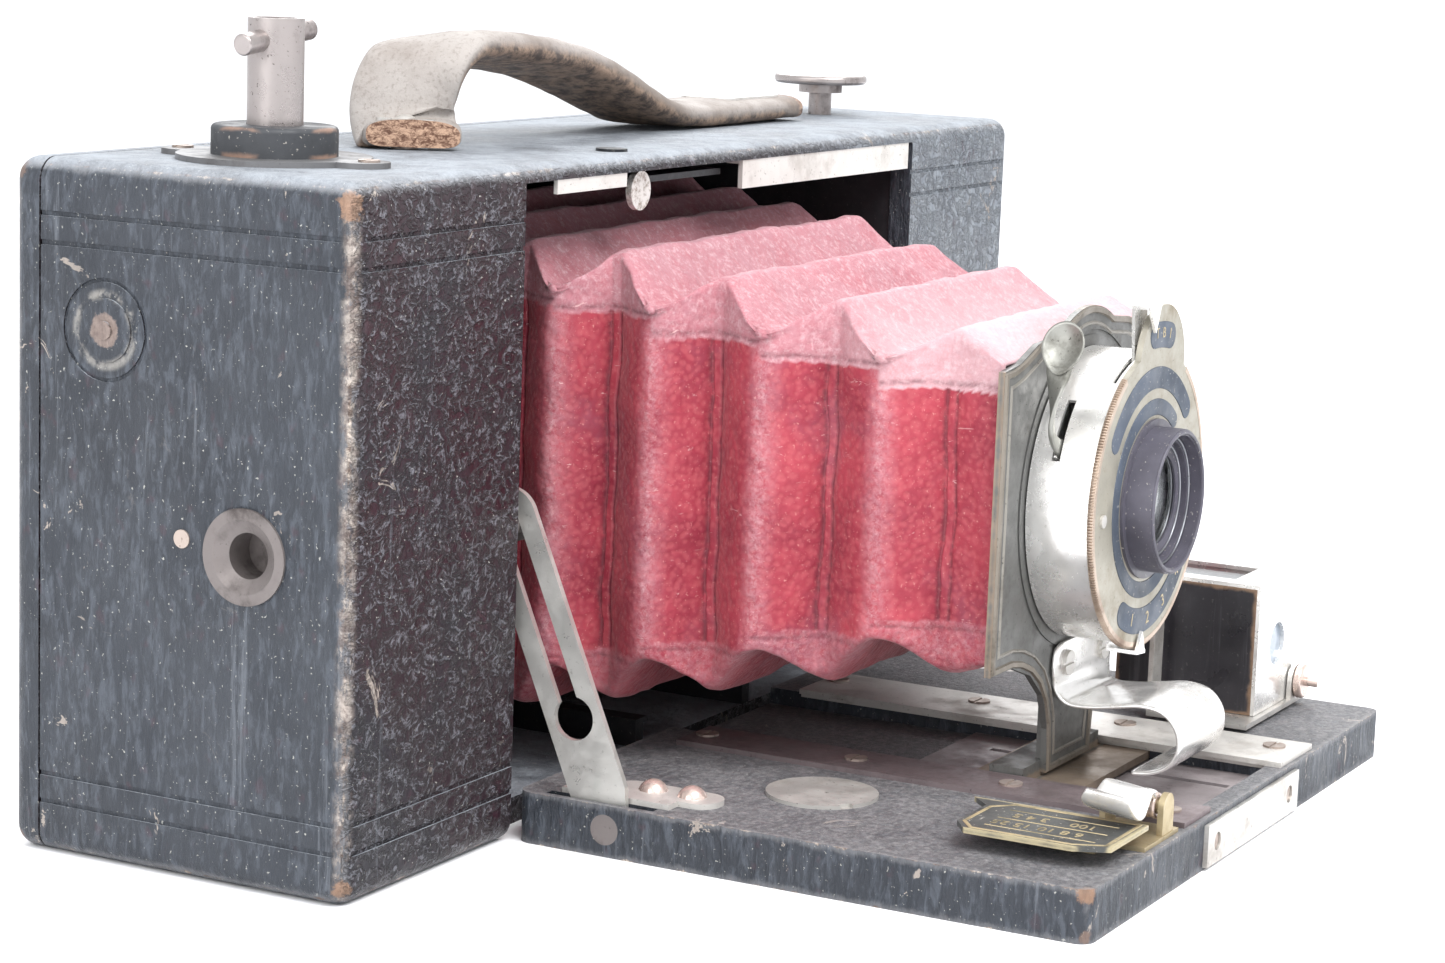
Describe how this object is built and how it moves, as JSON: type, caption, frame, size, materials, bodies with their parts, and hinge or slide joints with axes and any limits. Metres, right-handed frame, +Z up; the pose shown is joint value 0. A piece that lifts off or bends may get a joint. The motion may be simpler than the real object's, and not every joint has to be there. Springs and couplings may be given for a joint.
{
  "type": "folding roll-film camera",
  "caption": "Folding bellows camera, opened: long covered case, drop bed with struts, sliding standard with round shutter, crimson bellows, swivel finder, strap and winding key.",
  "frame": {"origin": "centre of the case's bottom face, on the plane it stands on", "axes": "+Z up; +X along the long case towards the spool knob; the lens looks along -Y, so +Y is the removable back"},
  "size_m": [0.2684, 0.1839, 0.1465],
  "materials": {
    "leathered_wood": "wood covered in black pebbled imitation leather",
    "black_wood": "black stained wood",
    "nickel": "worn nickel plate on brass",
    "bright_nickel": "bright nickel plate",
    "dark_nickel": "dark oxidised metal",
    "brass": "old brass",
    "black_enamel": "black enamel",
    "steel": "blued or dull steel",
    "strap_leather": "worn brown black leather",
    "bellows_cloth": "crimson thin leather, folded",
    "glass": "clear glass",
    "ruby_glass": "ruby window",
    "mirror": "silvered mirror"
  },
  "bodies": {
    "case": {"case_body": "leathered_wood", "inner_frame": "black_wood", "latch_plates": "nickel", "spool_pivots": "brass", "key_collar": "black_enamel", "key_plate": "dark_nickel", "end_tripod_bush": "brass", "bed_tripod_bush": "nickel", "handle_strap": "strap_leather", "handle_plates": "nickel", "wood_screws": "brass", "bed_board": "leathered_wood", "bed_hinge": "nickel", "rail_left": "nickel", "rail_right": "bright_nickel", "track_plate": "steel", "bed_catch_plate": "nickel", "strut_left": "nickel", "strut_right": "nickel", "strut_pins": "nickel", "strut_plates": "nickel", "strut_rivets": "brass", "focus_bracket": "nickel", "focus_scale": "black_enamel", "bellows": "bellows_cloth"},
    "standard": {"standard_plate": "dark_nickel", "standard_foot": "nickel", "standard_pull": "nickel", "standard_screws": "brass", "shutter_case": "bright_nickel", "face_plate": "brass", "lens_hood": "black_enamel", "front_lens": "glass", "rear_lens": "glass", "finder_bracket": "nickel"},
    "finder": {"finder_body": "black_enamel", "finder_cover": "bright_nickel", "finder_lens": "glass", "finder_mirror": "mirror", "finder_glass": "glass", "finder_pin": "brass"},
    "key": {"winding_key": "nickel", "key_cross_pin": "nickel"},
    "takeup": {"takeup_spool": "steel"},
    "supply": {"supply_spool": "steel"},
    "knob": {"spool_knob": "nickel"},
    "left_roller": {"roller_left": "steel"},
    "right_roller": {"roller_right": "steel"},
    "cover": {"back_cover": "leathered_wood", "ruby_window": "ruby_glass"},
    "left_button": {"back_button_left": "leathered_wood"},
    "right_button": {"back_button_right": "leathered_wood"},
    "latch": {"bed_latch": "nickel"},
    "lock": {"lock_lever": "nickel"},
    "speed": {"speed_lever": "nickel"},
    "stop": {"stop_lever": "nickel"},
    "stop_sector": {"stop_disc": "steel"},
    "release": {"release_lever": "nickel"},
    "blade": {"shutter_blade": "steel"}
  },
  "joints": [
    {"name": "standard_slide", "type": "slide", "parent": "case", "child": "standard", "axis": [0, 1, 0], "range_m": [0, 0.11], "deforming": ["bellows"]},
    {"name": "finder_swivel", "type": "hinge", "parent": "standard", "child": "finder", "pos_m": [0.072, -0.1255, 0.0148], "axis": [0, -1, 0], "range_deg": [-90, 0]},
    {"name": "release_press", "type": "hinge", "parent": "standard", "child": "release", "pos_m": [-0.016, -0.1155, 0.07], "axis": [0, 1, 0], "range_deg": [0, 12], "stiffness_Nm_per_rad": 0.12, "springref_deg": -8.59},
    {"name": "blade_swing", "type": "hinge", "parent": "standard", "child": "blade", "pos_m": [0.015, -0.1171, 0.062], "axis": [0, 1, 0], "range_deg": [-10, 80]},
    {"name": "speed_set", "type": "hinge", "parent": "standard", "child": "speed", "pos_m": [0, -0.1215, 0.062], "axis": [0, 1, 0], "range_deg": [-18, 18]},
    {"name": "stop_set", "type": "hinge", "parent": "standard", "child": "stop", "pos_m": [0, -0.1192, 0.062], "axis": [0, -1, 0], "range_deg": [0, 42]},
    {"name": "stop_turn", "type": "hinge", "parent": "standard", "child": "stop_sector", "pos_m": [0, -0.1205, 0.049], "axis": [0, 1, 0], "range_deg": [-20, 140]},
    {"name": "key_turn", "type": "hinge", "parent": "case", "child": "key", "pos_m": [-0.106, 0, 0.13], "axis": [0, 0, 1], "continuous": true},
    {"name": "takeup_turn", "type": "hinge", "parent": "case", "child": "takeup", "pos_m": [-0.106, 0, 0.062], "axis": [0, 0, 1], "continuous": true},
    {"name": "supply_turn", "type": "hinge", "parent": "case", "child": "supply", "pos_m": [0.106, 0, 0.062], "axis": [0, 0, 1], "continuous": true},
    {"name": "left_roller_turn", "type": "hinge", "parent": "case", "child": "left_roller", "pos_m": [-0.088, 0.0195, 0.062], "axis": [0, 0, 1], "continuous": true},
    {"name": "right_roller_turn", "type": "hinge", "parent": "case", "child": "right_roller", "pos_m": [0.088, 0.0195, 0.062], "axis": [0, 0, 1], "continuous": true},
    {"name": "knob_lift", "type": "slide", "parent": "case", "child": "knob", "axis": [0, 0, 1], "range_m": [0, 0.007], "stiffness_N_per_m": 500, "springref_m": -0.002},
    {"name": "cover_draw", "type": "slide", "parent": "case", "child": "cover", "axis": [0, 1, 0], "range_m": [0, 0.03]},
    {"name": "left_button_press", "type": "slide", "parent": "case", "child": "left_button", "axis": [1, 0, 0], "range_m": [0, 0.0012], "stiffness_N_per_m": 1500, "springref_m": -0.0006},
    {"name": "right_button_press", "type": "slide", "parent": "case", "child": "right_button", "axis": [-1, 0, 0], "range_m": [0, 0.0012], "stiffness_N_per_m": 1500, "springref_m": -0.0006},
    {"name": "latch_press", "type": "slide", "parent": "case", "child": "latch", "axis": [0, 0, -1], "range_m": [0, 0.0012], "stiffness_N_per_m": 1500, "springref_m": -0.0006},
    {"name": "lock_press", "type": "hinge", "parent": "case", "child": "lock", "pos_m": [-0.0405, -0.1405, 0.015], "axis": [0, -1, 0], "range_deg": [0, 5], "stiffness_Nm_per_rad": 0.3, "springref_deg": -5.73}
  ],
  "couplings": [
    {"joint": "blade_swing", "follows": "release_press", "ratio": 4.5},
    {"joint": "stop_turn", "follows": "stop_set", "ratio": 2.1429},
    {"joint": "key_turn", "follows": "takeup_turn", "ratio": 1}
  ]
}
